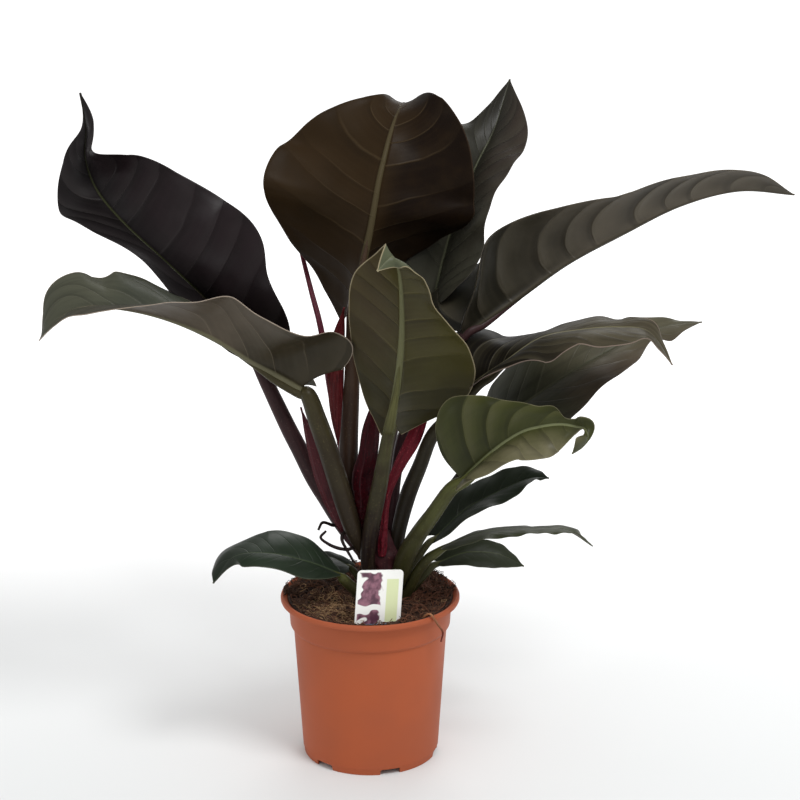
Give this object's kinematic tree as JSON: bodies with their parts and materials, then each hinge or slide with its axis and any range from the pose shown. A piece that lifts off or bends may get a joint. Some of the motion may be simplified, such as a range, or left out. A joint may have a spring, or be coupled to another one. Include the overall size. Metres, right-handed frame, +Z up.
{
  "type": "potted philodendron",
  "caption": "Leafy red-stemmed philodendron in a round nursery pot: broad dark glossy blades on thick petioles, red sheaths, a rolled new leaf, coir soil and a plain plant label.",
  "frame": {"origin": "middle of the pot's foot, on the surface that the pot stands on", "axes": "+Z up, -Y towards the front of the plant, +X to the right seen from the front, along the plant's widest spread"},
  "size_m": [0.8465, 0.3766, 0.772],
  "materials": {
    "crown": "dull, fibrous",
    "leaf_maroon": "waxy, satin",
    "leaf_purple": "waxy, glossy",
    "leaf_brown": "waxy, satin",
    "leaf_olive": "waxy, satin",
    "leaf_grey_green": "waxy, satin",
    "leaf_green": "waxy, satin",
    "petiole_purple": "smooth, satin",
    "petiole_olive": "smooth, satin",
    "sheath": "papery, satin",
    "root": "dull",
    "coir_strand": "dull",
    "label": "smooth, thin sheet",
    "soil": "rough coir and peat",
    "pot": "satin terracotta colour"
  },
  "bodies": {
    "root": {"crown": "crown", "blade_centre_top": "leaf_maroon", "blade_far_left": "leaf_purple", "blade_near_left": "leaf_brown", "blade_centre_front": "leaf_olive", "blade_far_right": "leaf_brown", "blade_back_right": "leaf_grey_green", "blade_front_right": "leaf_olive", "blade_mid_right": "leaf_grey_green", "blade_rear_right": "leaf_grey_green", "blade_small_right": "leaf_green", "blade_arching_right": "leaf_green", "blade_short_right": "leaf_green", "blade_low_left": "leaf_green", "blade_low_back": "leaf_green", "petiole_centre_top": "petiole_purple", "petiole_far_left": "petiole_purple", "petiole_near_left": "petiole_olive", "petiole_centre_front": "petiole_olive", "petiole_far_right": "petiole_purple", "petiole_back_right": "petiole_purple", "petiole_front_right": "petiole_olive", "petiole_mid_right": "petiole_olive", "petiole_rear_right": "petiole_olive", "petiole_small_right": "petiole_olive", "petiole_arching_right": "petiole_olive", "petiole_short_right": "petiole_olive", "petiole_low_left": "petiole_olive", "petiole_low_back": "petiole_olive", "leaf_spear": "sheath", "sheath_centre": "sheath", "sheath_right": "sheath", "sheath_left": "sheath", "sheath_outer_left": "sheath", "root_upper_left": "root", "root_lower_left": "root", "root_short_left": "root", "root_over_rim": "coir_strand", "plant_label": "label", "soil": "soil", "pot": "pot"}
  },
  "joints": []
}
